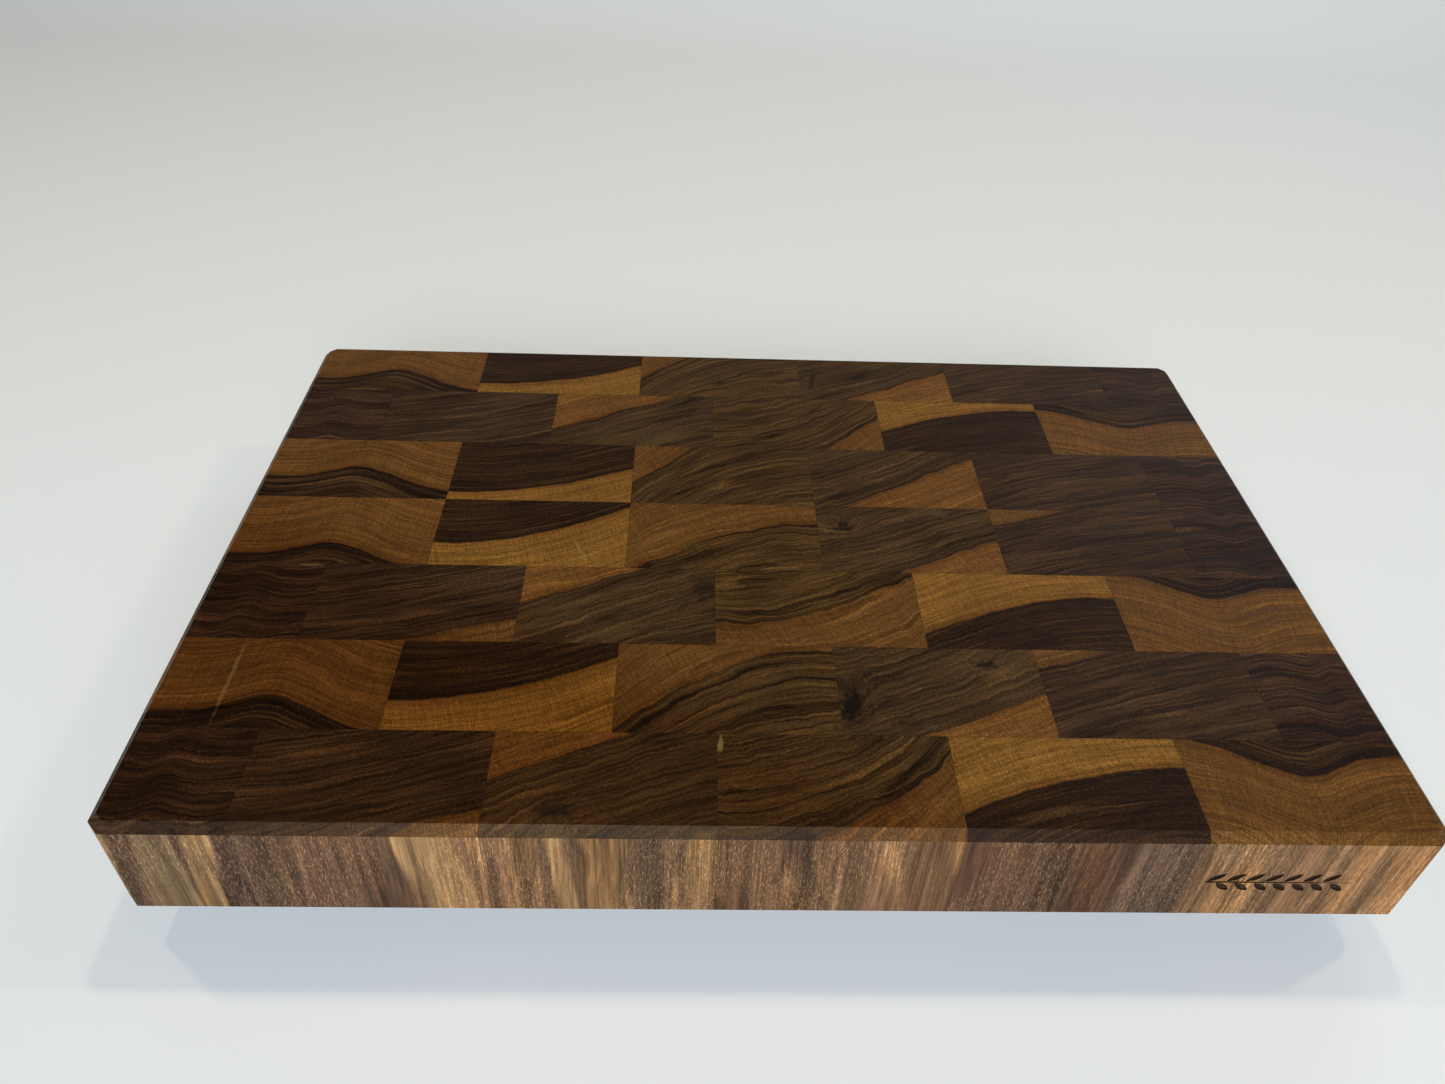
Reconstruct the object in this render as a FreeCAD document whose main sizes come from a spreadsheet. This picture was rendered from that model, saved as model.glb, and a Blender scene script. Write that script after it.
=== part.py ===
import FreeCAD, Part

import os

import Sketcher

# End-grain walnut cutting board on four screwed rubber feet.
#
# The board is seven rows of six upright blocks, glued face to face. Every row is one slice off
# a slab of six staves, so all rows have the same block widths. Three rows are turned end for
# end, which staggers the upright joints like brickwork. Under each corner a rubber foot with a
# moulded-in steel washer is held by one wood screw.
#
# Millimetres. X runs along the board from left to right, Y from front to back and Z up. The
# origin is under the middle of the board, on the plane that the feet stand on.

DIMENSIONS = [
    ("board_length", 457.2, "18 inch, along X"),
    ("board_depth", 304.8, "12 inch, along Y"),
    ("board_thickness", 46.8, "the length of the upright grain"),
    ("stave_1", 86.7, "first stave of the slab, up to its trimmed end"),
    ("stave_2", 82.5, "second stave"),
    ("stave_3", 83.3, "third stave"),
    ("stave_4", 78.8, "fourth stave"),
    ("stave_5", 82.5, "fifth stave; the sixth takes the rest of the length"),
    ("turned_trim", 2.1, "what a turned row loses at its first stave and gains at its sixth"),
    ("row_pitch", 44.1, "depth of an inner row; the front and back rows share the rest"),
    ("top_chamfer", 3.2, "1/8 inch chamfer round the top"),
    ("bottom_chamfer", 0.8, "broken edge round the underside"),
    ("corner_chamfer", 4.8, "3/16 inch chamfer on the upright corners"),
    ("foot_inset", 50.8, "from the board's edges to the axis of a foot"),
    ("foot_height", 19.05, "3/4 inch gap under the board"),
    ("foot_top_radius", 12.7, "foot against the board"),
    ("foot_ground_radius", 11.2, "foot on the table"),
    ("foot_round", 1.2, "rounded rims of a foot"),
    ("recess_radius", 6.2, "recess in the foot for the screw's head"),
    ("web_thickness", 5.0, "rubber between the washer and the board"),
    ("washer_radius", 7.4, "steel washer moulded into the foot"),
    ("washer_thickness", 1.5, "steel washer"),
    ("bore_radius", 2.4, "screw's hole through washer and web"),
    ("screw_length", 25.4, "1 inch from under the head to the tip"),
    ("screw_tip_length", 4.0, "cone at the end of the screw"),
    ("core_radius", 1.45, "root of the thread"),
    ("thread_radius", 2.1, "crest of the thread"),
    ("thread_pitch", 2.4, "from crest to crest"),
    ("thread_land", 0.3, "flat on the crest"),
    ("head_radius", 4.1, "pan head"),
    ("head_height", 2.8, "pan head"),
    ("head_round", 1.1, "rounded rim of the head"),
    ("cross_span", 4.4, "tip to tip of the cross recess"),
    ("cross_width", 1.1, "arm of the cross recess"),
    ("cross_depth", 1.5, "depth of the cross recess"),
    ("mark_start", 5.5, "from the joint at the mark's left to its stem"),
    ("mark_length", 52.0, "stem of the engraved sprig"),
    ("mark_height", 21.0, "from the board's underside to the stem"),
    ("mark_depth", 0.5, "depth of the engraving"),
    ("stem_width", 1.0, "width of the stem"),
    ("leaf_pitch", 6.8, "from leaf to leaf along the stem"),
    ("leaf_reach", 5.6, "from a leaf's foot to its tip, along the stem"),
    ("leaf_rise", 4.6, "from a leaf's foot to its tip, across the stem"),
    ("leaf_radius", 5.4, "curve of a leaf's two sides"),
]
SHEET = "dimensions"
ROWS = 7
STAVES = 6
TURNED_ROWS = (1, 3, 6)
LEAVES_PER_SIDE = 7
THREAD_CRESTS = 7
# Each foot's name, the sides of the board that it stands at, and the block that its screw enters.
CORNERS = {
    "front_left": (-1, -1, (2, 1)),
    "front_right": (1, -1, (2, 5)),
    "back_left": (-1, 1, (6, 2)),
    "back_right": (1, 1, (6, 6)),
}
MARKED_BLOCK = (1, 6)
DRILL_POINT_ANGLE = 118
NEAR = 1e-4


def cell(alias):
    """Expression for one dimension."""
    return f"{SHEET}.{alias}"


def total(expressions):
    """Expression for a sum, which may be empty."""
    return "(" + " + ".join(["0", *expressions]) + ")"


def make_sheet(doc):
    sheet = doc.addObject("Spreadsheet::Sheet", SHEET)
    for row, (alias, value, note) in enumerate(DIMENSIONS, start=1):
        sheet.set(f"A{row}", note)
        sheet.set(f"B{row}", str(value))
        sheet.setAlias(f"B{row}", alias)
    doc.recompute()
    return sheet


class SketchMaker:
    """A sketch on one of its body's own base planes, drawn with dimensions from the sheet."""

    def __init__(self, body, name, plane, sheet, lift=None):
        self.sheet = sheet
        self.sketch = body.newObject("Sketcher::SketchObject", name)
        plane_object = next(item for item in body.Origin.OriginFeatures if item.Role == plane)
        self.sketch.AttachmentSupport = [(plane_object, "")]
        self.sketch.MapMode = "FlatFace"
        if lift:
            self.sketch.setExpression("AttachmentOffset.Base.z", lift)

    def value(self, expression):
        return float(self.sheet.evalExpression(expression))

    def point(self, corner):
        return FreeCAD.Vector(self.value(corner[0]), self.value(corner[1]), 0)

    def dimension(self, kind, expression, *where):
        """A dimension that follows an expression."""
        index = self.sketch.addConstraint(
            Sketcher.Constraint(kind, *where, self.value(expression))
        )
        self.sketch.renameConstraint(index, f"size_{index}")
        self.sketch.setExpression(f"Constraints.size_{index}", expression)

    def pin(self, edge, end, corner):
        """Fix one end of an edge at a corner given as two expressions."""
        for kind, axis, expression in (
            ("DistanceX", -2, corner[0]),
            ("DistanceY", -1, corner[1]),
        ):
            if abs(self.value(expression)) < NEAR:
                self.sketch.addConstraint(Sketcher.Constraint("PointOnObject", edge, end, axis))
            else:
                self.dimension(kind, expression, -1, 1, edge, end)

    def join(self, edge, next_edge):
        """The end of one edge is the start of the next."""
        self.sketch.addConstraint(Sketcher.Constraint("Coincident", edge, 2, next_edge, 1))

    def polygon(self, corners):
        """Closed outline through corners that are pairs of expressions."""
        points = [self.point(corner) for corner in corners]
        ends = points[1:] + points[:1]
        edges = [
            self.sketch.addGeometry(Part.LineSegment(start, end), False)
            for start, end in zip(points, ends)
        ]
        for edge, next_edge in zip(edges, edges[1:] + edges[:1]):
            self.join(edge, next_edge)
        for edge, corner in zip(edges, corners):
            self.pin(edge, 1, corner)

    def circle(self, centre, radius):
        shape = Part.Circle(self.point(centre), FreeCAD.Vector(0, 0, 1), self.value(radius))
        edge = self.sketch.addGeometry(shape, False)
        self.pin(edge, 3, centre)
        self.dimension("Radius", radius, edge)

    def leaf(self, foot, tip, radius):
        """Lens between two points, with both sides curved to one radius."""
        start = self.point(foot)
        end = self.point(tip)
        chord = end - start
        middle = (start + end) * 0.5
        across = FreeCAD.Vector(-chord.y, chord.x, 0).normalize()
        size = self.value(radius)
        drop = (size**2 - (chord.Length / 2) ** 2) ** 0.5
        bulge = across * (size - drop)
        there = self.sketch.addGeometry(Part.Arc(start, middle - bulge, end), False)
        back = self.sketch.addGeometry(Part.Arc(end, middle + bulge, start), False)
        self.join(there, back)
        self.join(back, there)
        self.pin(there, 1, foot)
        self.pin(there, 2, tip)
        self.dimension("Radius", radius, there)
        self.dimension("Radius", radius, back)


def add_feature(body, kind, sketch, length=None, **properties):
    """Pad, pocket or revolution made from a sketch."""
    feature = body.newObject(f"PartDesign::{kind}", f"{sketch.Name}_{kind.lower()}")
    feature.Profile = sketch
    if length:
        feature.setExpression("Length", length)
    for name, value in properties.items():
        setattr(feature, name, value)
    sketch.Visibility = False
    body.Document.recompute()
    return feature


def revolve(body, sketch):
    return add_feature(body, "Revolution", sketch, ReferenceAxis=(sketch, ["V_Axis"]), Angle=360)


def repeat(body, feature, sketch, axis, pitch, count):
    """Row of copies of a feature, along one of its sketch's axes."""
    pattern = body.newObject("PartDesign::LinearPattern", f"{feature.Name}_row")
    pattern.Originals = [feature]
    pattern.Direction = (sketch, [axis])
    pattern.setExpression("Length", f"{pitch} * {count - 1}")
    pattern.Occurrences = count
    body.Tip = pattern
    body.Document.recompute()
    return pattern


def break_edges(body, kind, size_name, size, chosen):
    """Fillet or chamfer the edges of the body's last feature whose box passes a test."""
    base = body.Tip
    edges = [
        f"Edge{number}"
        for number, edge in enumerate(base.Shape.Edges, start=1)
        if chosen(edge.BoundBox)
    ]
    if not edges:
        raise RuntimeError(f"{body.Label}: no edges to {kind.lower()}")
    feature = body.newObject(f"PartDesign::{kind}", f"{body.Name}_{kind.lower()}")
    feature.Base = (base, edges)
    feature.setExpression(size_name, size)
    body.Document.recompute()
    return feature


def place(body, x, y, z):
    for axis, expression in (("x", x), ("y", y), ("z", z)):
        body.setExpression(f"Placement.Base.{axis}", expression)


def new_body(doc, label):
    body = doc.addObject("PartDesign::Body", label)
    body.Label = label
    return body


# --- the blocks -------------------------------------------------------------------------------


def block_widths(row):
    """Widths of a row's blocks, from left to right."""
    staves = [cell(f"stave_{number}") for number in range(1, STAVES)]
    last = f"({cell('board_length')} - {total(staves)})"
    if row not in TURNED_ROWS:
        return [*staves, last]
    trim = cell("turned_trim")
    return [f"({last} + {trim})", *reversed(staves[1:]), f"({staves[0]} - {trim})"]


def row_depths():
    """Depths of the rows, from front to back."""
    inner = [cell("row_pitch")] * (ROWS - 2)
    outer = f"(({cell('board_depth')} - {total(inner)}) / 2)"
    return [outer, *inner, outer]


def block_left(row, block):
    return f"({total(block_widths(row)[: block - 1])} - {cell('board_length')} / 2)"


def row_front(row):
    return f"({total(row_depths()[: row - 1])} - {cell('board_depth')} / 2)"


def foot_axis(corner):
    """X and Y of the axis of a foot."""
    side_x, side_y, _ = CORNERS[corner]
    x = f"({side_x} * ({cell('board_length')} / 2 - {cell('foot_inset')}))"
    y = f"({side_y} * ({cell('board_depth')} / 2 - {cell('foot_inset')}))"
    return x, y


def outer_sides(row, block, width, depth):
    """Tests that an edge's box lies on a side of the block that is also a side of the board."""
    sides = []
    if block == 1:
        sides.append(lambda box: abs(box.XMax) < NEAR)
    if block == STAVES:
        sides.append(lambda box: abs(box.XMin - width) < NEAR)
    if row == 1:
        sides.append(lambda box: abs(box.YMax) < NEAR)
    if row == ROWS:
        sides.append(lambda box: abs(box.YMin - depth) < NEAR)
    return sides


def outer_edge_test(sides, level):
    """Test that an edge's box is an outer edge of the board at one level of the block."""

    def test(box):
        level_edge = abs(box.ZMin - level) < NEAR and abs(box.ZMax - level) < NEAR
        slanted = box.XLength > NEAR and box.YLength > NEAR
        return level_edge and (slanted or any(on(box) for on in sides))

    return test


def shape_outer_edges(body, sides, thickness):
    """Chamfer the upright edge between two outer sides, and the outer top and bottom edges."""
    if len(sides) == 2:
        corner = cell("corner_chamfer")
        break_edges(body, "Chamfer", "Size", corner, lambda box: all(on(box) for on in sides))
    if sides:
        for chamfer, level in ((cell("top_chamfer"), thickness), (cell("bottom_chamfer"), 0.0)):
            break_edges(body, "Chamfer", "Size", chamfer, outer_edge_test(sides, level))


def make_block(doc, sheet, row, block):
    body = new_body(doc, f"row_{row}_block_{block}")
    width = block_widths(row)[block - 1]
    depth = row_depths()[row - 1]
    outline = SketchMaker(body, f"{body.Name}_outline", "XY_Plane", sheet)
    outline.polygon([("0", "0"), (width, "0"), (width, depth), ("0", depth)])
    add_feature(body, "Pad", outline.sketch, cell("board_thickness"))
    sides = outer_sides(row, block, outline.value(width), outline.value(depth))
    shape_outer_edges(body, sides, outline.value(cell("board_thickness")))
    place(body, block_left(row, block), row_front(row), cell("foot_height"))
    return body


def drill_pilot(body, sheet, corner):
    """Blind hole up from the block's underside for the screw of the foot at a corner."""
    row, block = CORNERS[corner][2]
    foot_x, foot_y = foot_axis(corner)
    centre = (f"{foot_x} - {block_left(row, block)}", f"{foot_y} - {row_front(row)}")
    start = SketchMaker(body, f"{body.Name}_pilot", "XY_Plane", sheet)
    start.circle(centre, cell("thread_radius"))
    hole = add_feature(
        body,
        "Hole",
        start.sketch,
        Reversed=True,
        DepthType="Dimension",
        DrillPoint="Angled",
        DrillPointAngle=DRILL_POINT_ANGLE,
    )
    screw_tip = f"{screw_head_level()} + {cell('screw_length')}"
    hole.setExpression("Diameter", f"2 * {cell('thread_radius')}")
    hole.setExpression("Depth", f"{screw_tip} - {cell('foot_height')}")
    body.Document.recompute()


def engrave_sprig(body, sheet):
    """Shallow leafy sprig, cut into the block's front face."""
    start = cell("mark_start")
    level = cell("mark_height")
    half = f"{cell('stem_width')} / 2"
    end = f"{start} + {cell('mark_length')}"
    stem = SketchMaker(body, f"{body.Name}_stem", "XZ_Plane", sheet)
    stem.polygon(
        [
            (start, f"{level} - {half}"),
            (end, f"{level} - {half} / 3"),
            (end, f"{level} + {half} / 3"),
            (start, f"{level} + {half}"),
        ]
    )
    add_feature(body, "Pocket", stem.sketch, cell("mark_depth"))

    leaves = SketchMaker(body, f"{body.Name}_leaves", "XZ_Plane", sheet)
    for side, lead in ((1, "0"), (-1, f"{cell('leaf_pitch')} / 2")):
        foot_x = f"{start} + {half} + {lead}"
        foot_y = f"{level} + {side} * {half}"
        tip = (f"{foot_x} + {cell('leaf_reach')}", f"{foot_y} + {side} * {cell('leaf_rise')}")
        leaves.leaf((foot_x, foot_y), tip, cell("leaf_radius"))
    pair = add_feature(body, "Pocket", leaves.sketch, cell("mark_depth"))
    repeat(body, pair, leaves.sketch, "H_Axis", cell("leaf_pitch"), LEAVES_PER_SIDE)


# --- the feet ---------------------------------------------------------------------------------


def washer_top():
    return f"({cell('foot_height')} - {cell('web_thickness')})"


def screw_head_level():
    """Height of the washer's underside, which the screw's head bears on."""
    return f"({washer_top()} - {cell('washer_thickness')})"


def make_foot(doc, sheet, corner):
    """Tapered rubber foot with a recess from below, a groove for its washer and a bore."""
    body = new_body(doc, f"foot_{corner}")
    section = SketchMaker(body, f"{body.Name}_section", "XZ_Plane", sheet)
    section.polygon(
        [
            (cell("recess_radius"), "0"),
            (cell("foot_ground_radius"), "0"),
            (cell("foot_top_radius"), cell("foot_height")),
            (cell("bore_radius"), cell("foot_height")),
            (cell("bore_radius"), washer_top()),
            (cell("washer_radius"), washer_top()),
            (cell("washer_radius"), screw_head_level()),
            (cell("recess_radius"), screw_head_level()),
        ]
    )
    revolve(body, section.sketch)
    smallest_rim = 2 * section.value(cell("foot_ground_radius")) - NEAR

    def outer_rim(box):
        return box.ZLength < NEAR and box.XLength > smallest_rim

    break_edges(body, "Fillet", "Radius", cell("foot_round"), outer_rim)
    place(body, *foot_axis(corner), "0")
    return body


def make_washer(doc, sheet, corner):
    body = new_body(doc, f"washer_{corner}")
    rim = SketchMaker(body, f"{body.Name}_rim", "XY_Plane", sheet)
    rim.circle(("0", "0"), cell("washer_radius"))
    rim.circle(("0", "0"), cell("bore_radius"))
    add_feature(body, "Pad", rim.sketch, cell("washer_thickness"))
    place(body, *foot_axis(corner), screw_head_level())
    return body


def add_thread(body, sheet):
    """Rings for the crests of the thread, from the shank to the start of the point."""
    core = cell("core_radius")
    crest = cell("thread_radius")
    pitch = cell("thread_pitch")
    tip_start = f"({cell('screw_length')} - {cell('screw_tip_length')})"
    level = f"({tip_start} - {THREAD_CRESTS} * {pitch} + {pitch} / 2)"
    half_land = f"{cell('thread_land')} / 2"
    half_root = f"({crest} - {core} + {half_land})"
    ring = SketchMaker(body, f"{body.Name}_thread", "XZ_Plane", sheet)
    ring.polygon(
        [
            (f"{core} / 2", f"{level} - {half_root}"),
            (core, f"{level} - {half_root}"),
            (crest, f"{level} - {half_land}"),
            (crest, f"{level} + {half_land}"),
            (core, f"{level} + {half_root}"),
            (f"{core} / 2", f"{level} + {half_root}"),
        ]
    )
    repeat(body, revolve(body, ring.sketch), ring.sketch, "V_Axis", pitch, THREAD_CRESTS)


def cut_cross_recess(body, sheet):
    """Plus-shaped recess for the driver, up from the bottom of the head."""
    tip = f"{cell('cross_span')} / 2"
    side = f"{cell('cross_width')} / 2"
    bottom = f"-{cell('head_height')}"
    cross = SketchMaker(body, f"{body.Name}_cross", "XY_Plane", sheet, lift=bottom)
    cross.polygon(
        [
            (tip, f"-{side}"),
            (tip, side),
            (side, side),
            (side, tip),
            (f"-{side}", tip),
            (f"-{side}", side),
            (f"-{tip}", side),
            (f"-{tip}", f"-{side}"),
            (f"-{side}", f"-{side}"),
            (f"-{side}", f"-{tip}"),
            (side, f"-{tip}"),
            (side, f"-{side}"),
        ]
    )
    add_feature(body, "Pocket", cross.sketch, cell("cross_depth"), Reversed=True)


def make_screw(doc, sheet, corner):
    """Pan-head wood screw, point up, whose head bears on the washer at the body's own Z of 0."""
    body = new_body(doc, f"screw_{corner}")
    core = cell("core_radius")
    section = SketchMaker(body, f"{body.Name}_section", "XZ_Plane", sheet)
    section.polygon(
        [
            ("0", f"-{cell('head_height')}"),
            (cell("head_radius"), f"-{cell('head_height')}"),
            (cell("head_radius"), "0"),
            (core, "0"),
            (core, f"{cell('screw_length')} - {cell('screw_tip_length')}"),
            ("0", cell("screw_length")),
        ]
    )
    revolve(body, section.sketch)
    bottom = -section.value(cell("head_height"))

    def lower_rim(box):
        return abs(box.ZMin - bottom) < NEAR and abs(box.ZMax - bottom) < NEAR

    break_edges(body, "Fillet", "Radius", cell("head_round"), lower_rim)
    add_thread(body, sheet)
    cut_cross_recess(body, sheet)
    place(body, *foot_axis(corner), screw_head_level())
    return body


# --- the whole board --------------------------------------------------------------------------


def make_group(doc, label, bodies):
    """One sub-part of separate, identical fasteners."""
    group = doc.addObject("Part::Compound", label)
    group.Label = label
    group.Links = bodies
    return group


def make_board(doc, sheet):
    """Every block, by its row and its place in the row."""
    blocks = {}
    for row in range(1, ROWS + 1):
        for block in range(1, STAVES + 1):
            blocks[row, block] = make_block(doc, sheet, row, block)
    for corner in CORNERS:
        drill_pilot(blocks[CORNERS[corner][2]], sheet, corner)
    engrave_sprig(blocks[MARKED_BLOCK], sheet)
    return list(blocks.values())


def check_document(doc):
    """Stop if an object failed, or if a feature that should remove material removed none."""
    for item in doc.Objects:
        if "Invalid" in item.State or "Error" in item.State:
            raise RuntimeError(f"{item.Label} failed: {item.State}")
        cuts = item.TypeId in ("PartDesign::Pocket", "PartDesign::Hole", "PartDesign::Chamfer")
        if cuts and item.Shape.Volume >= item.BaseFeature.Shape.Volume - NEAR:
            raise RuntimeError(f"{item.Label} removes nothing")


def check_sub_part(item, solids):
    shape = item.Shape
    if shape.isNull() or not shape.isValid():
        raise RuntimeError(f"{item.Label} has no valid shape")
    if len(shape.Solids) != solids:
        raise RuntimeError(f"{item.Label} has {len(shape.Solids)} solids and needs {solids}")


def main():
    doc = FreeCAD.newDocument("cutting_board")
    sheet = make_sheet(doc)
    blocks = make_board(doc, sheet)
    feet = [make_foot(doc, sheet, corner) for corner in CORNERS]
    washers = [make_washer(doc, sheet, corner) for corner in CORNERS]
    screws = [make_screw(doc, sheet, corner) for corner in CORNERS]
    groups = [
        make_group(doc, "foot_washers", washers),
        make_group(doc, "foot_screws", screws),
    ]
    doc.recompute()

    check_document(doc)
    for item in blocks + feet:
        check_sub_part(item, 1)
    for item in groups:
        check_sub_part(item, len(CORNERS))

    os.makedirs("parts", exist_ok=True)
    for item in blocks + feet + groups:
        item.Shape.exportStep(f"parts/{item.Label}.step")


main()
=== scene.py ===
import math

import bpy
from mathutils import Euler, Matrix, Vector


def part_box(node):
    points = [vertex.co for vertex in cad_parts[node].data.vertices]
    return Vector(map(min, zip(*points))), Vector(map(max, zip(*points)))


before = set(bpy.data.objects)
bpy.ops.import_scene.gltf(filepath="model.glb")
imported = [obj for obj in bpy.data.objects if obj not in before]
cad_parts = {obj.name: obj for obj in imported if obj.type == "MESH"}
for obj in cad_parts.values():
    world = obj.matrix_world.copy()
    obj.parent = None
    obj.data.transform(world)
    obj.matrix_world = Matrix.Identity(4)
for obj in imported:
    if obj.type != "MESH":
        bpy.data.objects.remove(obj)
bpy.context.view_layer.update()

# Looks for the end-grain walnut board: every block gets its own solid wood texture, worked out
# from how the six staves of its slab grew, so that top, sides and underside belong together.
#
# Lengths are in metres, as in the frame, and the grain is described in millimetres.

MM = 0.001
ROWS = 7
BLOCKS = 6
TURNED_ROWS = (1, 3, 6)
MARKED_BLOCK = (1, 6)


def block_box(row, block):
    """Lowest and highest corners of one block of the board."""
    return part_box(f"row_{row}_block_{block}")


def block_width(row, block):
    low, high = block_box(row, block)
    return high.x - low.x


BOARD_LOW = block_box(1, 1)[0]
BOARD_HIGH = block_box(ROWS, BLOCKS)[1]


# --- building node trees ----------------------------------------------------------------------


class Tree:
    """Adds nodes to a tree, so that a formula can be written as nested calls."""

    def __init__(self, tree):
        self.tree = tree

    def set(self, socket, value):
        """Plug an output into an input, or set the input's own value."""
        if isinstance(value, bpy.types.NodeSocket):
            self.tree.links.new(value, socket)
        else:
            socket.default_value = value

    def node(self, kind, inputs=(), **settings):
        node = self.tree.nodes.new(kind)
        for name, value in settings.items():
            setattr(node, name, value)
        for key, value in dict(inputs).items():
            self.set(node.inputs[key], value)
        return node

    def math(self, operation, first, second=0.0):
        return self.node("ShaderNodeMath", {0: first, 1: second}, operation=operation).outputs[0]

    def add(self, first, second):
        return self.math("ADD", first, second)

    def subtract(self, first, second):
        return self.math("SUBTRACT", first, second)

    def multiply(self, first, second):
        return self.math("MULTIPLY", first, second)

    def least(self, first, second):
        return self.math("MINIMUM", first, second)

    def vector(self, x, y, z):
        return self.node("ShaderNodeCombineXYZ", {0: x, 1: y, 2: z}).outputs[0]

    def length(self, vector):
        node = self.node("ShaderNodeVectorMath", {0: vector}, operation="LENGTH")
        return node.outputs["Value"]

    def split(self, vector):
        return self.node("ShaderNodeSeparateXYZ", {0: vector}).outputs

    def smooth(self, value, low, high, start=0.0, end=1.0):
        """Smooth step from start to end as the value goes from low to high."""
        inputs = {"Value": value, "From Min": low, "From Max": high, "To Min": start, "To Max": end}
        node = self.node("ShaderNodeMapRange", inputs, interpolation_type="SMOOTHSTEP")
        return node.outputs["Result"]

    def noise(self, vector, seed, detail=0.0):
        inputs = {"Vector": vector, "W": seed, "Scale": 1.0, "Detail": detail}
        return self.node("ShaderNodeTexNoise", inputs, noise_dimensions="4D").outputs["Fac"]

    def mix(self, factor, first, second, blend="MIX"):
        node = self.node("ShaderNodeMix", data_type="RGBA", blend_type=blend)
        share, *colours = [socket for socket in node.inputs if socket.enabled]
        self.set(share, factor)
        self.set(colours[0], first)
        self.set(colours[1], second)
        return next(socket for socket in node.outputs if socket.enabled)

    def scale(self, vector, factor):
        """A vector or colour times a number."""
        inputs = {0: vector, "Scale": factor}
        return self.node("ShaderNodeVectorMath", inputs, operation="SCALE").outputs[0]

    def curve(self, value, points, low, high, bottom, top):
        """Smooth curve through a few points, from low..high to bottom..top."""
        node = self.node("ShaderNodeFloatCurve")
        spread = node.mapping.curves[0].points
        while len(spread) < len(points):
            spread.new(0.5, 0.5)
        for point, (x, y) in zip(spread, points):
            point.location = ((x - low) / (high - low), (y - bottom) / (top - bottom))
        node.mapping.update()
        inputs = {"Value": value, "From Min": low, "From Max": high}
        share = self.node("ShaderNodeMapRange", inputs).outputs["Result"]
        self.set(node.inputs["Value"], share)
        return self.add(self.multiply(node.outputs[0], top - bottom), bottom)


def rgba(red, green, blue):
    return (red, green, blue, 1.0)


def new_material(name):
    """An empty material and its tree."""
    material = bpy.data.materials.new(name)
    material.use_nodes = True
    t = Tree(material.node_tree)
    t.tree.nodes.clear()
    return material, t


def finish_shader(t, inputs, height, depth):
    """Principled shader with these inputs, with bumps of the given depth from height."""
    bump = t.node("ShaderNodeBump", {"Strength": 0.35, "Distance": depth, "Height": height})
    shader = t.node("ShaderNodeBsdfPrincipled", {**inputs, "Normal": bump.outputs[0]})
    t.node("ShaderNodeOutputMaterial", {"Surface": shader.outputs[0]})


def dress(name, material):
    """Give a CAD node its material."""
    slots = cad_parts[name].data.materials
    slots.clear()
    slots.append(material)


# --- walnut -----------------------------------------------------------------------------------

PLACE_INPUTS = ("Ring", "Along", "Rise", "End", "Seed", "Streak")
LOOK_INPUTS = ("Ring Width", "Waviness", "Lines", "Contrast", "Rim", "Banding", "Flame")
COLOUR_INPUTS = ("Heart", "Dark", "Sap", "Streak Tint")

# What sapwood is multiplied by next to the heart.
SAP_BY_HEART = rgba(0.8, 0.71, 0.66)
# What side grain is multiplied by in the sap, in the heart and in its warm parts.
SIDE_OF_SAP = rgba(1.18, 1.14, 1.55)
SIDE_OF_HEART = rgba(1.18, 1.04, 1.12)
WARM_SIDE = rgba(1.22, 1.12, 0.95)
# What open pores add to end grain and to side grain.
PORE_GLINT = rgba(0.05, 0.024, 0.005)
DASH_GLINT = rgba(0.12, 0.085, 0.045)


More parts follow.
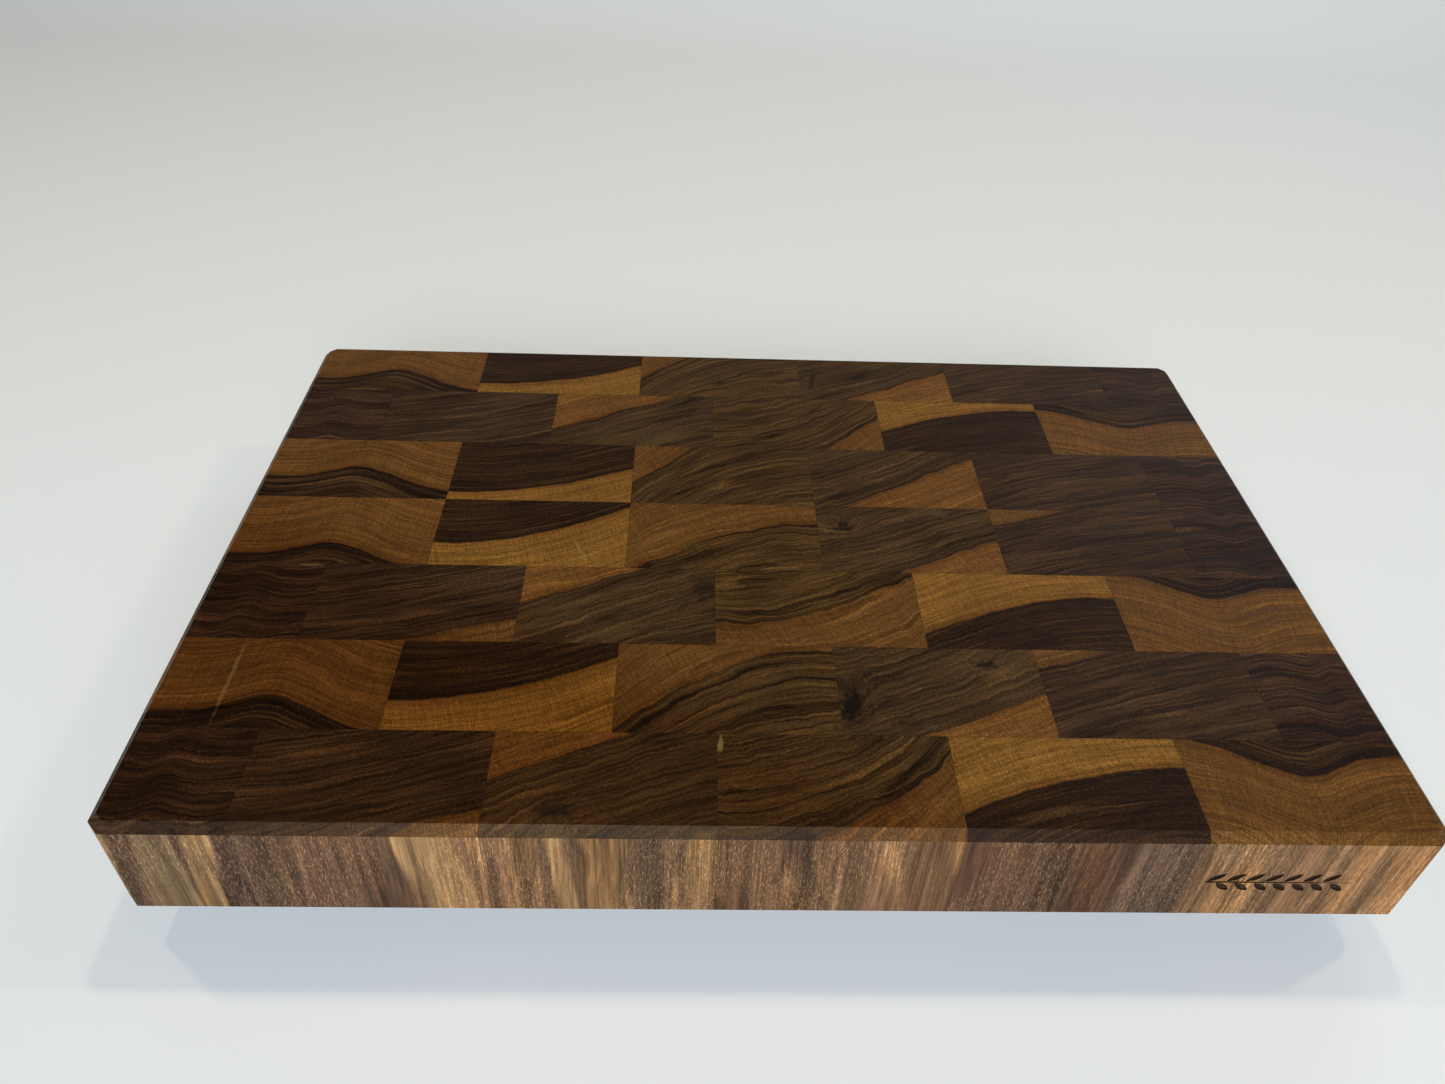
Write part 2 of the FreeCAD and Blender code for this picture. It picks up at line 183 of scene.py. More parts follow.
class Grain:
    """The walnut group while it is built: its tree, its inputs and the patterns they make.

    ring is the distance into the heartwood once the wandering of the rings is added. bands,
    fine and fibres are noises, from the broadest to the finest, and patches says where pores
    show most. early and late are the two ends of each year. heartwood is 1 in the heart and 0
    in the sap.
    """

    def __init__(self, group):
        t = Tree(group)
        self.t = t
        self.given = t.node("NodeGroupInput").outputs
        # The wandering is itself a noise, taken along the straight rings.
        self.ring = self.given["Ring"]
        self.ring = t.add(self.ring, self.wandering())
        self.bands = self.noise(0.014, 0.15, 0.004, 3.1, detail=1.5)
        self.fine = self.noise(0.04, 0.9, 0.01, 5.7, detail=2.0)
        self.fibres = self.noise(2.6, 2.6, 0.4, 8.1, detail=1.0)
        self.patches = self.noise(0.035, 0.09, 0.015, 11.3)
        self.early, self.late = self.years()
        self.pores = self.pore_share()
        heart_edge = t.add(self.ring, t.multiply(t.subtract(self.fine, 0.5), 1.2))
        self.heartwood = t.smooth(heart_edge, -0.4, 0.8)

    def noise(self, along_rate, ring_rate, rise_rate, shift, detail=0.0):
        """Noise that changes at these rates per mm along the rings, across them and upward."""
        t = self.t
        where = t.vector(
            t.multiply(self.given["Along"], along_rate),
            t.multiply(self.ring, ring_rate),
            t.multiply(self.given["Rise"], rise_rate),
        )
        return t.noise(where, t.add(self.given["Seed"], shift), detail)

    def wandering(self):
        """How far the rings stray: a few mm over the stave, and ripples of a fraction of one."""
        t = self.t
        wander = t.subtract(self.noise(0.03, 0.03, 0.022, 0.0, detail=1.0), 0.5)
        ripple = t.subtract(self.noise(0.14, 0.1, 0.03, 1.3, detail=1.5), 0.5)
        bend = t.add(t.multiply(wander, 5.0), t.multiply(ripple, 2.4))
        return t.multiply(bend, self.given["Waviness"])

    def years(self):
        """Share of early and of late wood.

        A year starts with a row of open pores, darkens slowly and ends at a sharp edge. No two
        are as wide or as dark.
        """
        t = self.t
        drift = self.noise(0.006, 0.11, 0.002, 12.7)
        phase = t.math("DIVIDE", self.ring, self.given["Ring Width"])
        phase = t.add(phase, t.multiply(drift, 5.0))
        age = t.math("FRACT", phase)
        year = t.add(t.math("FLOOR", phase), self.given["Seed"])
        chance = t.node("ShaderNodeTexWhiteNoise", {"W": year}, noise_dimensions="1D")
        darkness = t.smooth(chance.outputs["Value"], 0.0, 0.9, 0.25, 1.0)
        late = t.multiply(t.multiply(t.math("POWER", age, 3.0), darkness), self.given["Lines"])
        early = t.multiply(t.smooth(age, 0.0, 0.08), t.smooth(age, 0.12, 0.32, 1.0, 0.0))
        return t.multiply(early, t.smooth(self.patches, 0.42, 0.6)), late

    def pore_share(self):
        """1 in a pore and 0 between them, strongest in early wood."""
        t = self.t
        pores = t.smooth(self.noise(1.9, 1.9, 0.28, 9.9), 0.55, 0.72)
        return t.multiply(pores, t.add(t.multiply(self.early, 0.75), 0.25))

    def rim(self):
        """A dark line just inside the edge of the heartwood, and a weaker one behind it."""
        t = self.t
        first = t.multiply(t.smooth(self.ring, 0.0, 0.7), t.smooth(self.ring, 1.0, 3.2, 1.0, 0.0))
        second = t.multiply(t.smooth(self.ring, 4.4, 5.6), t.smooth(self.ring, 6.0, 8.2, 0.75, 0.0))
        return t.add(first, second)

    def flames(self):
        """Dark strokes that follow the rings here and there."""
        t = self.t
        middle = t.math("ABSOLUTE", t.subtract(self.noise(0.014, 0.22, 0.004, 14.9), 0.5))
        strokes = t.smooth(middle, 0.0, 0.05, 1.0, 0.0)
        return t.multiply(strokes, t.smooth(self.patches, 0.45, 0.62, 1.0, 0.15))

    def fine_lines(self, contrast):
        """Factor around 1 that follows the thinnest lines of the grain."""
        t = self.t
        return t.add(t.multiply(t.smooth(self.fine, 0.36, 0.64, -1.0, 1.0), contrast), 1.0)

    def heart_colour(self):
        """Darker in its bands, rims, late wood and flames, and crossed by fine lines."""
        t = self.t
        given = self.given
        dark = t.multiply(t.smooth(self.bands, 0.42, 0.56), given["Banding"])
        dark = t.add(dark, t.multiply(self.rim(), given["Rim"]))
        dark = t.add(dark, self.late)
        dark = t.add(dark, t.multiply(self.flames(), given["Flame"]))
        heart = t.mix(t.least(dark, 1.0), given["Heart"], given["Dark"])
        return t.scale(heart, self.fine_lines(given["Contrast"]))

    def sap_colour(self):
        """Paler than the heart, warmer next to it, and crossed by fine lines and rays."""
        t = self.t
        sap = self.given["Sap"]
        warm = t.mix(1.0, sap, SAP_BY_HEART, "MULTIPLY")
        sap = t.mix(t.smooth(self.ring, -5.0, 0.5, 0.0, 0.9), sap, warm)
        sap = t.scale(sap, t.smooth(self.bands, 0.38, 0.62, 1.08, 0.92))
        years = t.subtract(1.0, t.multiply(self.late, 0.38))
        sap = t.scale(sap, t.multiply(self.fine_lines(0.22), years))
        rays = self.noise(2.8, 0.09, 0.05, 7.3)
        return t.scale(sap, t.smooth(rays, 0.3, 0.7, 0.84, 1.16))

    def end_colour(self):
        """The wood cut across its grain, where pores are small pale dots."""
        t = self.t
        wood = t.mix(self.heartwood, self.sap_colour(), self.heart_colour())
        wood = t.scale(wood, t.smooth(self.fibres, 0.3, 0.7, 0.6, 1.42))
        fleck = t.mix(1.0, t.scale(wood, 1.5), PORE_GLINT, "ADD")
        flecks = t.least(t.add(self.pores, t.multiply(self.early, 0.3)), 1.0)
        return t.mix(flecks, wood, fleck)

    def side_colour(self, end_colour):
        """The same wood cut along its grain: paler, streaked, and its pores short dashes."""
        t = self.t
        lanes = self.noise(0.3, 0.3, 0.009, 16.1, detail=3.0)
        hair = self.noise(1.5, 1.5, 0.018, 18.9, detail=2.0)
        tone = self.noise(0.075, 0.075, 0.01, 17.3, detail=1.0)
        side = t.node("ShaderNodeGamma", {"Color": end_colour, "Gamma": 0.7}).outputs[0]
        paler = t.mix(self.heartwood, SIDE_OF_SAP, SIDE_OF_HEART)
        side = t.mix(1.0, side, paler, "MULTIPLY")
        warm = t.mix(1.0, side, WARM_SIDE, "MULTIPLY")
        side = t.mix(t.smooth(tone, 0.38, 0.62), t.scale(side, 0.82), warm)
        ragged = t.add(self.given["Streak"], t.multiply(t.subtract(lanes, 0.5), 2.0))
        side = t.mix(t.smooth(ragged, 0.1, 0.9, 0.0, 0.75), side, self.given["Streak Tint"])
        side = t.scale(side, t.smooth(lanes, 0.34, 0.66, 0.64, 1.34))
        side = t.scale(side, t.smooth(hair, 0.3, 0.7, 0.7, 1.3))
        dash = t.mix(1.0, t.scale(side, 1.5), DASH_GLINT, "ADD")
        dashes = t.smooth(self.noise(3.2, 3.2, 0.45, 10.7, detail=2.0), 0.53, 0.66)
        dashes = t.multiply(dashes, t.smooth(self.patches, 0.38, 0.58, 0.1, 1.0))
        return t.mix(dashes, side, dash)


def add_walnut_sockets(group):
    """Give the walnut group its inputs and outputs."""
    sockets = group.interface
    for name in PLACE_INPUTS + LOOK_INPUTS:
        sockets.new_socket(name, in_out="INPUT", socket_type="NodeSocketFloat")
    for name in COLOUR_INPUTS:
        sockets.new_socket(name, in_out="INPUT", socket_type="NodeSocketColor")
    sockets.new_socket("Colour", in_out="OUTPUT", socket_type="NodeSocketColor")
    for name in ("Roughness", "Height"):
        sockets.new_socket(name, in_out="OUTPUT", socket_type="NodeSocketFloat")


def walnut_group():
    """Solid walnut: growth bands, heart and sap, rays and pores, in millimetres of the stave.

    Ring is the distance into the heartwood from its edge, Along runs along the rings and Rise
    is the height. End is 1 on end grain and 0 on side grain. Streak is how much of Streak Tint
    the side grain takes.
    """
    group = bpy.data.node_groups.new("walnut", "ShaderNodeTree")
    add_walnut_sockets(group)
    grain = Grain(group)
    t = grain.t
    end = grain.end_colour()
    side = grain.side_colour(end)
    result = t.node("NodeGroupOutput").inputs
    t.set(result["Colour"], t.mix(grain.given["End"], side, end))
    t.set(result["Roughness"], t.smooth(grain.fine, 0.3, 0.7, 0.34, 0.52))
    t.set(result["Height"], t.subtract(t.multiply(grain.fibres, 0.5), grain.pores))
    return group


class Stave:
    """One of the six staves of the slab: how its rings run and where its sapwood begins.

    edge is the line between heart and sap across the stave, as (along, depth) points in mm of
    an unturned row, and slices gives each row's own (shift, stretch) of that line. heart_behind
    says that the heartwood lies behind the line. The rest are inputs of the walnut group.
    """

    def __init__(self, edge, slices, heart_behind, heart, dark, sap, **look):
        self.edge = edge
        self.slices = slices
        self.heart_behind = heart_behind
        self.look = {"Heart": rgba(*heart), "Dark": rgba(*dark), "Sap": rgba(*sap)}
        self.look.update((name.replace("_", " ").title(), value) for name, value in look.items())

    def tilt(self):
        """Angle of the rings to the stave's width, on average."""
        (start, first), (end, last) = self.edge[0], self.edge[-1]
        return math.atan2(last - first, end - start)


STAVES = [
    Stave(
        edge=[(0, 0), (20, 0.5), (30, 4), (43, 8), (55, 4.5), (72, -4.5), (87, -9.5)],
        slices=[(8, 1), (8, 1), (6, 1), (6, 1), (15.5, 1), (13.5, 0.85), (11.5, 1)],
        heart_behind=False,
        heart=(0.046, 0.02, 0.006),
        dark=(0.01, 0.004, 0.0015),
        sap=(0.107, 0.043, 0.0085),
        ring_width=2.6,
        waviness=0.7,
        lines=0.9,
        contrast=0.42,
        rim=0.9,
        banding=0.75,
        flame=0.5,
    ),
    Stave(
        edge=[(0, 0), (15, 0), (30, 2.5), (46, 7), (60, 12.5), (73, 19), (84, 25)],
        slices=[(12.8, 0.85), (13.8, 0.95), (13.3, 0.95), (14, 1.1), (5.3, 0.82), (6.5, 0.87),
                (8.3, 0.85)],
        heart_behind=True,
        heart=(0.026, 0.0105, 0.0038),
        dark=(0.013, 0.005, 0.0018),
        sap=(0.165, 0.072, 0.0125),
        ring_width=3.0,
        waviness=0.7,
        lines=0.5,
        contrast=0.38,
        rim=0.9,
        banding=0.5,
        flame=0.2,
    ),
    Stave(
        edge=[(0, 0), (10, 10), (20, 18), (30, 25), (43, 31.5), (58, 37), (84, 42)],
        slices=[(8, 1), (1, 1.03), (1.5, 0.75), (-4, 0.85), (12.5, 1.3), (15, 1.15), (15.3, 1.1)],
        heart_behind=False,
        heart=(0.064, 0.03, 0.008),
        dark=(0.012, 0.005, 0.0015),
        sap=(0.1, 0.041, 0.0085),
        ring_width=4.8,
        waviness=1.5,
        lines=0.7,
        contrast=0.36,
        rim=0.65,
        banding=0.25,
        flame=0.65,
    ),
    Stave(
        edge=[(0, -13), (15, -7.5), (30, -1.5), (47, 6), (58, 12), (72, 18), (80, 22)],
        slices=[(0, 1), (0, 1), (0.5, 1), (0, 1), (11, 1.3), (8, 1.1), (5.5, 1.1)],
        heart_behind=True,
        heart=(0.056, 0.0275, 0.0092),
        dark=(0.016, 0.0075, 0.003),
        sap=(0.125, 0.05, 0.0105),
        ring_width=3.8,
        waviness=1.3,
        lines=0.4,
        contrast=0.34,
        rim=0.5,
        banding=0.35,
        flame=0.5,
    ),
    Stave(
        edge=[(0, 0), (20, 7), (45, 14), (84, 22)],
        slices=[(33, 1), (34, 1), (30.5, 1), (32, 1), (52, 1), (52, 1), (52, 1)],
        heart_behind=False,
        heart=(0.046, 0.0215, 0.009),
        dark=(0.016, 0.007, 0.003),
        sap=(0.1, 0.043, 0.01),
        ring_width=3.6,
        waviness=0.9,
        lines=0.65,
        contrast=0.42,
        rim=0.2,
        banding=0.45,
        flame=0.3,
    ),
    Stave(
        edge=[(0, 0), (15, 1.5), (25, -1), (34, 2), (45, 0.5)],
        slices=[(60, 1)] * ROWS,
        heart_behind=False,
        heart=(0.04, 0.017, 0.0085),
        dark=(0.011, 0.0043, 0.002),
        sap=(0.1, 0.042, 0.01),
        ring_width=3.2,
        waviness=1.2,
        lines=0.9,
        contrast=0.46,
        rim=0.0,
        banding=0.6,
        flame=0.4,
    ),
]
# What a turned row loses from its first stave when its end is trimmed.
TRIM = block_width(2, 1) - block_width(1, BLOCKS)
# Least and most along and depth, in mm, that the line between heart and sap is drawn for.
EDGE_ALONG = (0.0, 90.0)
EDGE_DEPTH = (-20.0, 50.0)
# Slices of one stave look alike, and two staves do not.
SEED_PER_ROW = 0.35
SEED_PER_STAVE = 11.0

# Painted shade on the top, where it gets less light towards its front left corner: the factor that it
# darkens and deepens the wood by, and how far it reaches in mm.
PAINTED_SHADE = rgba(0.72, 0.58, 0.42)
PAINTED_SHADE_LENGTH = 250
PAINTED_SHADE_DEPTH = 140

# Tints of knots, stains and ray flecks, and of glue lines and burnt wood.
BLACK = rgba(0.006, 0.004, 0.003)
SMOKE = rgba(0.012, 0.007, 0.004)
GOLD = rgba(0.2, 0.115, 0.035)
OLIVE = rgba(0.075, 0.045, 0.018)


class Mark:
    """A knot, stain or ray fleck: an oval on the top of one block, soft at its edge.

    x and y are its centre in mm from the board's left end and front, size its half length and
    half width in mm, and angle its turn in degrees from the board's length. strength is its
    tint's share at the centre. swirl is how far it pushes the rings around it aside, in mm.
    """

    def __init__(self, row, block, x, y, size, tint, strength, angle=0.0, swirl=0.0):
        self.home = (row, block)
        self.x = x
        self.y = y
        self.size = size
        self.tint = tint
        self.strength = strength
        self.angle = math.radians(angle)
        self.swirl = swirl

    def reach(self, t, spot):
        """Distance from the centre, 1 at the oval's edge."""
        x = t.subtract(spot.from_left, self.x)
        y = t.subtract(spot.from_front, self.y)
        cosine = math.cos(self.angle)
        sine = math.sin(self.angle)
        long_way = t.add(t.multiply(x, cosine), t.multiply(y, sine))
        short_way = t.subtract(t.multiply(y, cosine), t.multiply(x, sine))
        half_length, half_width = self.size
        oval = t.vector(
            t.multiply(long_way, 1 / half_length), t.multiply(short_way, 1 / half_width), 0.0
        )
        return t.length(oval)


MARKS = [
    Mark(7, 4, 259, 280, (11, 1.8), SMOKE, 0.8, angle=80),
    Mark(6, 3, 180, 225, (16, 6), OLIVE, 0.5, angle=20),
    Mark(4, 4, 264, 160, (6, 4.5), BLACK, 0.75, swirl=5),
    Mark(4, 4, 308, 171, (6, 3.5), OLIVE, 0.7),
    Mark(4, 2, 150, 140, (11, 0.9), GOLD, 1.0, angle=-66),
    Mark(3, 1, 40, 129, (6, 1), GOLD, 0.35),
    Mark(3, 3, 203, 118, (7, 8), SMOKE, 0.6, swirl=3),
    Mark(3, 2, 84, 126, (4, 3), SMOKE, 0.5, swirl=1.5),
    Mark(2, 1, 27, 66, (24, 0.9), GOLD, 0.35, angle=90),
    Mark(2, 4, 257, 56, (9, 5), BLACK, 1.0, angle=70, swirl=7),
    Mark(2, 4, 311, 78, (6, 3), BLACK, 0.75, swirl=3),
    Mark(1, 3, 152, 9, (9, 4.5), BLACK, 0.7, swirl=3),
    Mark(1, 4, 208, 37, (4.5, 1.4), GOLD, 0.7, angle=85),
    Mark(7, 1, 31, 263, (14, 1.2), GOLD, 0.3),
]


class Streak:
    """A tinted streak up the board's front, soft at its edges.

    x is its middle in mm from the board's left end, half_width is in mm, and lean is how far in
    mm its top lies to the right of its bottom.
    """

    def __init__(self, block, x, half_width, lean, tint):
        self.block = block
        self.x = x
        self.half_width = half_width
        self.lean = lean
        self.tint = tint

    def share(self, t, from_left, share_up):
        """1 in the streak and 0 away from it."""
        middle = t.add(t.multiply(t.subtract(share_up, 0.5), self.lean), self.x)
        wobble = t.noise(t.vector(t.multiply(from_left, 0.02), 0.0, t.multiply(share_up, 1.5)), self.x)
        middle = t.add(middle, t.multiply(t.subtract(wobble, 0.5), 0.5 * self.half_width))
        away = t.math("ABSOLUTE", t.subtract(from_left, middle))
        return t.smooth(away, 0.4 * self.half_width, 1.6 * self.half_width, 1.0, 0.0)


# Tints of the streaks on the front.
PALE_GOLD = rgba(0.35, 0.19, 0.075)
HONEY = rgba(0.235, 0.117, 0.043)
ASH = rgba(0.165, 0.1, 0.048)
UMBER = rgba(0.082, 0.041, 0.021)
RUSSET = rgba(0.15, 0.07, 0.034)
BRACKEN = rgba(0.098, 0.046, 0.023)
SLATE = rgba(0.086, 0.05, 0.031)
STREAKS = [
    Streak(1, 2, 4, 4, PALE_GOLD),
    Streak(1, 9, 3, 8, UMBER),
    Streak(1, 20, 8, 0, ASH),
    Streak(1, 33, 5, 4, PALE_GOLD),
    Streak(2, 57, 8, 2, UMBER),
    Streak(2, 69, 4, 2, RUSSET),
    Streak(2, 88, 13, -6, UMBER),
    Streak(2, 111, 10, -8, PALE_GOLD),
    Streak(2, 124, 3, -6, RUSSET),
    Streak(3, 130, 6, 0, RUSSET),
    Streak(3, 154, 3.5, -3, PALE_GOLD),
    Streak(3, 168, 8, 0, HONEY),
    Streak(3, 184, 5, 0, UMBER),
    Streak(3, 201, 7, 3, HONEY),
    Streak(4, 218, 10, -6, BRACKEN),
    Streak(4, 237, 4.5, -12, UMBER),
    Streak(4, 255, 11, -12, RUSSET),
    Streak(4, 281, 10, -8, UMBER),
    Streak(5, 305, 22, 0, BRACKEN),
    Streak(5, 360, 16, 0, SLATE),
    Streak(6, 409, 5, 0, RUSSET),
]


class Spot:
    """The point being shaded: its place in metres, and in mm from the board's left and front.

    facing is 1 where the surface is level and 0 where it is upright.
    """

    def __init__(self, t):
        coordinates = t.node("ShaderNodeTexCoord").outputs
        self.across, self.deep, self.up = t.split(coordinates["Object"])
        self.facing = t.math("ABSOLUTE", t.split(coordinates["Normal"])[2])
        self.from_left = t.multiply(t.subtract(self.across, BOARD_LOW.x), 1 / MM)
        self.from_front = t.multiply(t.subtract(self.deep, BOARD_LOW.y), 1 / MM)


def streak_on_front(t, block, spot):
    """Share and tint of the streaks of a block of the front row."""
    share_up = t.smooth(spot.up, BOARD_LOW.z, BOARD_HIGH.z)
    on_front = t.smooth(spot.from_front, 2.0, 12.0, 1.0, 0.0)
    share = 0.0
    tint = HONEY
    for streak in STREAKS:
        if streak.block == block:
            own = streak.share(t, spot.from_left, share_up)
            tint = t.mix(t.smooth(t.subtract(own, share), -0.5, 0.5), tint, streak.tint)
            share = t.math("MAXIMUM", own, share)
    return t.multiply(share, on_front), tint


def marks_on_top(t, row, block, spot):
    """How far in mm the marks of a block push its rings aside, and each one's share and tint."""
    marks = [mark for mark in MARKS if mark.home == (row, block)]
    if not marks:
        return 0.0, []
    place = t.vector(t.multiply(spot.from_left, 0.4), t.multiply(spot.from_front, 0.4), 0.0)
    rough_edge = t.multiply(t.subtract(t.noise(place, 0.0), 0.5), 1.2)
    near_top = t.smooth(spot.up, BOARD_HIGH.z - 22 * MM, BOARD_HIGH.z - 8 * MM)
    push = 0.0
    tints = []
    for mark in marks:
        reach = t.add(mark.reach(t, spot), rough_edge)
        push = t.add(push, t.multiply(t.smooth(reach, 0.0, 2.4, mark.swirl, 0.0), near_top))
        share = t.multiply(t.smooth(reach, 0.35, 1.1, mark.strength, 0.0), near_top)
        tints.append((share, mark.tint))
    return push, tints


def slab_place(t, row, block, spot):
    """The stave of a block, and along and depth in mm in that stave as it lay in the slab."""
    low, high = block_box(row, block)
    if row in TURNED_ROWS:
        number = BLOCKS - block
        start = high.x + (TRIM if number == 0 else 0.0)
        along = t.subtract(start, spot.across)
        depth = t.subtract(high.y, spot.deep)
    else:
        number = block - 1
        along = t.subtract(spot.across, low.x)
        depth = t.subtract(spot.deep, low.y)
    return STAVES[number], t.multiply(along, 1 / MM), t.multiply(depth, 1 / MM)


def ring_place(t, row, stave, along, depth):
    """Ring and Along of the walnut group at a place in a stave."""
    shift, stretch = stave.slices[row - 1]
    edge = t.curve(along, stave.edge, *EDGE_ALONG, *EDGE_DEPTH)
    edge = t.add(t.multiply(edge, stretch), shift)
    inward = t.subtract(depth, edge) if stave.heart_behind else t.subtract(edge, depth)
    cosine = math.cos(stave.tilt())
    sine = math.sin(stave.tilt())
    return t.multiply(inward, cosine), t.add(t.multiply(along, cosine), t.multiply(depth, sine))


def painted_shade_share(t, spot):
    """1 on the top's front left corner, fading out across it: where the top's painted shade lies."""
    reach = t.add(
        t.multiply(spot.from_left, 1 / PAINTED_SHADE_LENGTH), t.multiply(spot.from_front, 1 / PAINTED_SHADE_DEPTH)
    )
    return t.multiply(t.smooth(reach, 1.0, 1.42, 1.0, 0.0), t.smooth(spot.facing, 0.75, 0.95))


def seam_shade(t, row, block, spot):
    """1 on a glue line at the edge of the block, and 0 away from it and on the board's sides."""
    low, high = block_box(row, block)
    nearest = 1.0
    if block > 1:
        nearest = t.least(nearest, t.subtract(spot.across, low.x))
    if block < BLOCKS:
        nearest = t.least(nearest, t.subtract(high.x, spot.across))
    if row > 1:
        nearest = t.least(nearest, t.subtract(spot.deep, low.y))
    if row < ROWS:
        nearest = t.least(nearest, t.subtract(high.y, spot.deep))
    return t.smooth(nearest, 0.0, 0.3 * MM, 1.0, 0.0)


def burnt_share(t, spot):
    """1 in the burnt floor and walls of the engraved sprig, and 0 elsewhere on its block."""
    low, high = block_box(*MARKED_BLOCK)
    in_pocket = t.multiply(
        t.smooth(spot.from_front, 0.04, 0.2), t.smooth(spot.from_front, 0.6, 0.7, 1.0, 0.0)
    )
    border = 7 * MM
    inside = t.least(
        t.least(t.subtract(spot.across, low.x + border / 2), t.subtract(high.x - border, spot.across)),
        t.least(t.subtract(spot.up, low.z + border), t.subtract(high.z - border, spot.up)),
    )
    return t.multiply(in_pocket, t.smooth(inside, 0.0, 0.1 * MM))


def block_material(group, row, block):
    """The wood of one block, with its marks, its glue lines and painted shade on the top's front left.
    """
    material, t = new_material(f"walnut_row_{row}_block_{block}")
    spot = Spot(t)
    stave, along, depth = slab_place(t, row, block, spot)
    ring, along_rings = ring_place(t, row, stave, along, depth)
    push, tints = marks_on_top(t, row, block, spot)
    inputs = {
        "Ring": t.add(ring, push),
        "Along": along_rings,
        "Rise": t.multiply(spot.up, 1 / MM),
        "End": t.smooth(spot.facing, 0.2, 0.8),
        "Seed": row * SEED_PER_ROW + STAVES.index(stave) * SEED_PER_STAVE,
        **stave.look,
    }
    if row == 1:
        inputs["Streak"], inputs["Streak Tint"] = streak_on_front(t, block, spot)
    wood = t.node("ShaderNodeGroup", inputs, node_tree=group).outputs

    # Painted shade: the top darker and more saturated towards its front left corner, where less light
    # falls.
    colour = t.mix(painted_shade_share(t, spot), wood["Colour"], PAINTED_SHADE, "MULTIPLY")
    for share, tint in tints:
        colour = t.mix(share, colour, tint)
    if (row, block) == MARKED_BLOCK:
        colour = t.mix(t.multiply(burnt_share(t, spot), 0.93), colour, SMOKE)
    colour = t.mix(t.multiply(seam_shade(t, row, block, spot), 0.4), colour, BLACK)
    look = {"Base Color": colour, "Roughness": wood["Roughness"], "Specular IOR Level": 0.04}
    finish_shader(t, look, wood["Height"], 0.1 * MM)
    return material


def finish_board():
    group = walnut_group()
    for row in range(1, ROWS + 1):
        for block in range(1, BLOCKS + 1):
            dress(f"row_{row}_block_{block}", block_material(group, row, block))


# --- feet -------------------------------------------------------------------------------------

FEET = ("foot_front_left", "foot_front_right", "foot_back_left", "foot_back_right")


def rubber_material():
    """Black moulded rubber with a fine grain, paler where the foot rubs on the table."""
    material, t = new_material("moulded_rubber")
    place = t.node("ShaderNodeTexCoord").outputs["Object"]
    grain = t.noise(t.scale(place, 1.6 / MM), 0.0, detail=2.0)
    stains = t.noise(t.scale(place, 0.12 / MM), 4.0, detail=3.0)
    worn = t.smooth(t.split(place)[2], 0.3 * MM, 3 * MM, 1.0, 0.0)
    dust = t.multiply(t.smooth(stains, 0.4, 0.65), t.add(t.multiply(worn, 0.6), 0.25))
    colour = t.mix(t.smooth(grain, 0.3, 0.7), rgba(0.011, 0.011, 0.012), rgba(0.021, 0.02, 0.02))
    colour = t.mix(dust, colour, rgba(0.075, 0.07, 0.064))
    look = {
        "Base Color": colour,
        "Roughness": t.smooth(dust, 0.0, 0.6, 0.52, 0.85),
        "Specular IOR Level": 0.35,
    }
    finish_shader(t, look, t.add(grain, stains), 0.15 * MM)
    return material


def steel_material():
    """Brushed steel, with its marks in rings around the axis of the nearest foot."""
    # The feet mirror each other, so the back right one gives the place of all four axes.
    low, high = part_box("foot_back_right")
    axis_x = (low.x + high.x) / 2
    axis_y = (low.y + high.y) / 2
    material, t = new_material("brushed_steel")
    across, deep, up = t.split(t.node("ShaderNodeTexCoord").outputs["Object"])
    x = t.subtract(t.math("ABSOLUTE", across), axis_x)
    y = t.subtract(t.math("ABSOLUTE", deep), axis_y)
    radius = t.multiply(t.length(t.vector(x, y, 0.0)), 1 / MM)
    turn = t.math("ARCTAN2", y, x)
    height = t.multiply(up, 1 / MM)
    brushing = t.noise(t.vector(t.multiply(radius, 9.0), turn, t.multiply(height, 9.0)), 2.0, 1.0)
    tarnish = t.noise(t.vector(t.multiply(x, 0.3 / MM), t.multiply(y, 0.3 / MM), height), 6.0, 3.0)
    colour = t.mix(t.smooth(brushing, 0.3, 0.7), rgba(0.42, 0.41, 0.4), rgba(0.66, 0.65, 0.63))
    colour = t.mix(t.smooth(tarnish, 0.5, 0.75, 0.0, 0.5), colour, rgba(0.22, 0.2, 0.18))
    roughness = t.add(t.smooth(brushing, 0.3, 0.7, 0.22, 0.34), t.smooth(tarnish, 0.5, 0.8, 0.0, 0.2))
    look = {"Base Color": colour, "Metallic": 1.0, "Roughness": roughness}
    finish_shader(t, look, brushing, 0.03 * MM)
    return material


def finish_feet():
    rubber = rubber_material()
    steel = steel_material()
    for name in FEET:
        dress(name, rubber)
    dress("foot_washers", steel)
    dress("foot_screws", steel)


# --- studio -----------------------------------------------------------------------------------


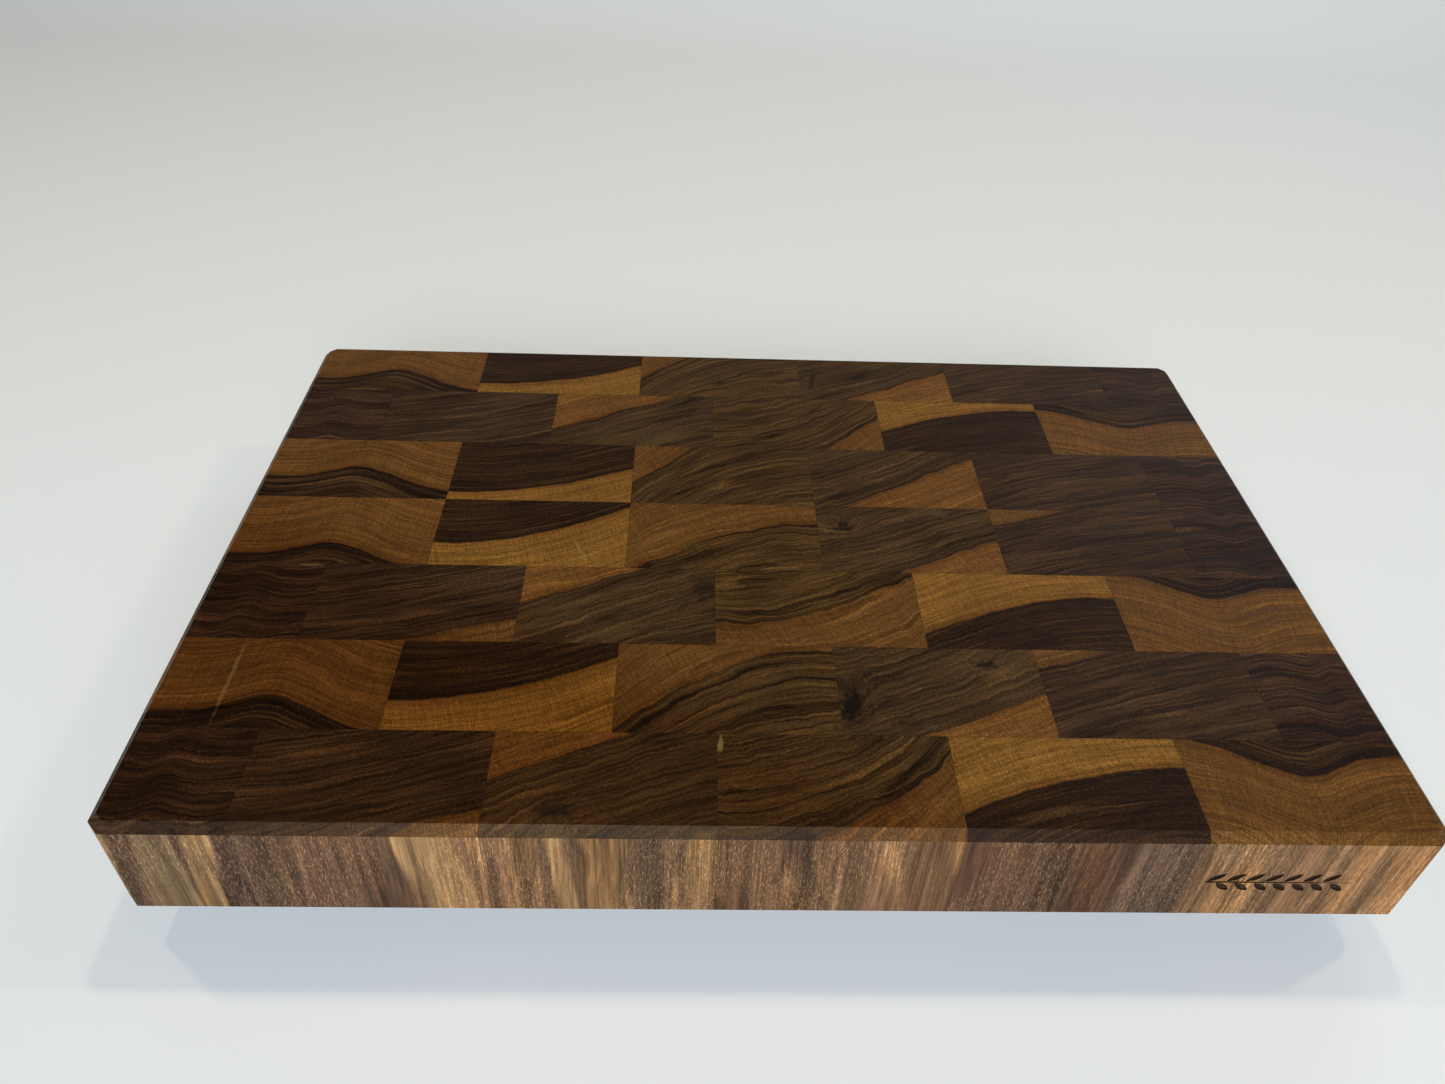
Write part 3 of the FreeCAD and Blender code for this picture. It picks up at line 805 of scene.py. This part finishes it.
def make_floor():
    """Pale seamless sweep: flat under the board, curving up well behind it."""
    near = -2.5
    far = 0.9
    radius = 0.6
    half_width = 3.0
    steps = 24
    profile = [(near, 0.0), (far, 0.0)]
    for step in range(1, steps + 1):
        angle = math.pi / 2 * step / steps
        profile.append((far + radius * math.sin(angle), radius * (1 - math.cos(angle))))
    profile.append((far + radius, 1.5 * radius))
    points = [(side * half_width, y, z) for y, z in profile for side in (-1, 1)]
    faces = [(2 * i, 2 * i + 1, 2 * i + 3, 2 * i + 2) for i in range(len(profile) - 1)]
    mesh = bpy.data.meshes.new("sweep")
    mesh.from_pydata(points, [], faces)
    mesh.shade_smooth()
    sweep = bpy.data.objects.new("sweep", mesh)
    bpy.context.scene.collection.objects.link(sweep)

    material = bpy.data.materials.new("pale_sweep")
    material.use_nodes = True
    shader = material.node_tree.nodes["Principled BSDF"]
    shader.inputs["Base Color"].default_value = rgba(0.79, 0.785, 0.755)
    shader.inputs["Roughness"].default_value = 0.85
    shader.inputs["Specular IOR Level"].default_value = 0.1
    mesh.materials.append(material)


def add_lamp(name, place, size, power, colour):
    """Square lamp that shines at the middle of the board."""
    light = bpy.data.lights.new(name, "AREA")
    light.shape = "SQUARE"
    light.size = size
    light.energy = power
    light.color = colour
    lamp = bpy.data.objects.new(name, light)
    lamp.location = place
    lamp.rotation_euler = Vector(place).to_track_quat("Z", "Y").to_euler()
    bpy.context.scene.collection.objects.link(lamp)


def make_light():
    """Wide cool lamp in front, a weak one behind at the right, and three warm lamps behind."""
    world = bpy.data.worlds.new("studio")
    world.use_nodes = True
    background = world.node_tree.nodes["Background"]
    background.inputs["Color"].default_value = rgba(0.9, 0.96, 1.0)
    background.inputs["Strength"].default_value = 0.04
    bpy.context.scene.world = world
    cool = (0.79, 0.88, 1.0)
    warm = (1.0, 0.88, 0.6)
    add_lamp("soft_front", (0.0, -2.11, 1.52), 1.6, 88.0, cool)
    add_lamp("sky_right", (1.1, 1.35, 1.25), 0.9, 6.5, cool)
    add_lamp("lamp_left", (-0.76, 0.27, 1.15), 0.06, 2.0, warm)
    add_lamp("lamp_middle", (0.17, 0.5, 1.97), 0.1, 5.4, warm)
    add_lamp("lamp_right", (0.95, 0.2, 1.16), 0.06, 2.2, warm)


def make_camera():
    """Camera at the photographed viewpoint: in front of the board, above it, looking down."""
    data = bpy.data.cameras.new("camera")
    data.sensor_width = 36.0
    data.lens = 26.98
    data.clip_start = 0.01
    camera = bpy.data.objects.new("camera", data)
    camera.location = (-0.0338, -0.3610, 0.3699)
    angles = (49.559, -2.01, -0.771)
    camera.rotation_euler = Euler([math.radians(angle) for angle in angles], "XYZ")
    bpy.context.scene.collection.objects.link(camera)
    bpy.context.scene.camera = camera


finish_board()
finish_feet()
make_floor()
make_light()
make_camera()
bpy.context.scene.view_settings.view_transform = "Standard"
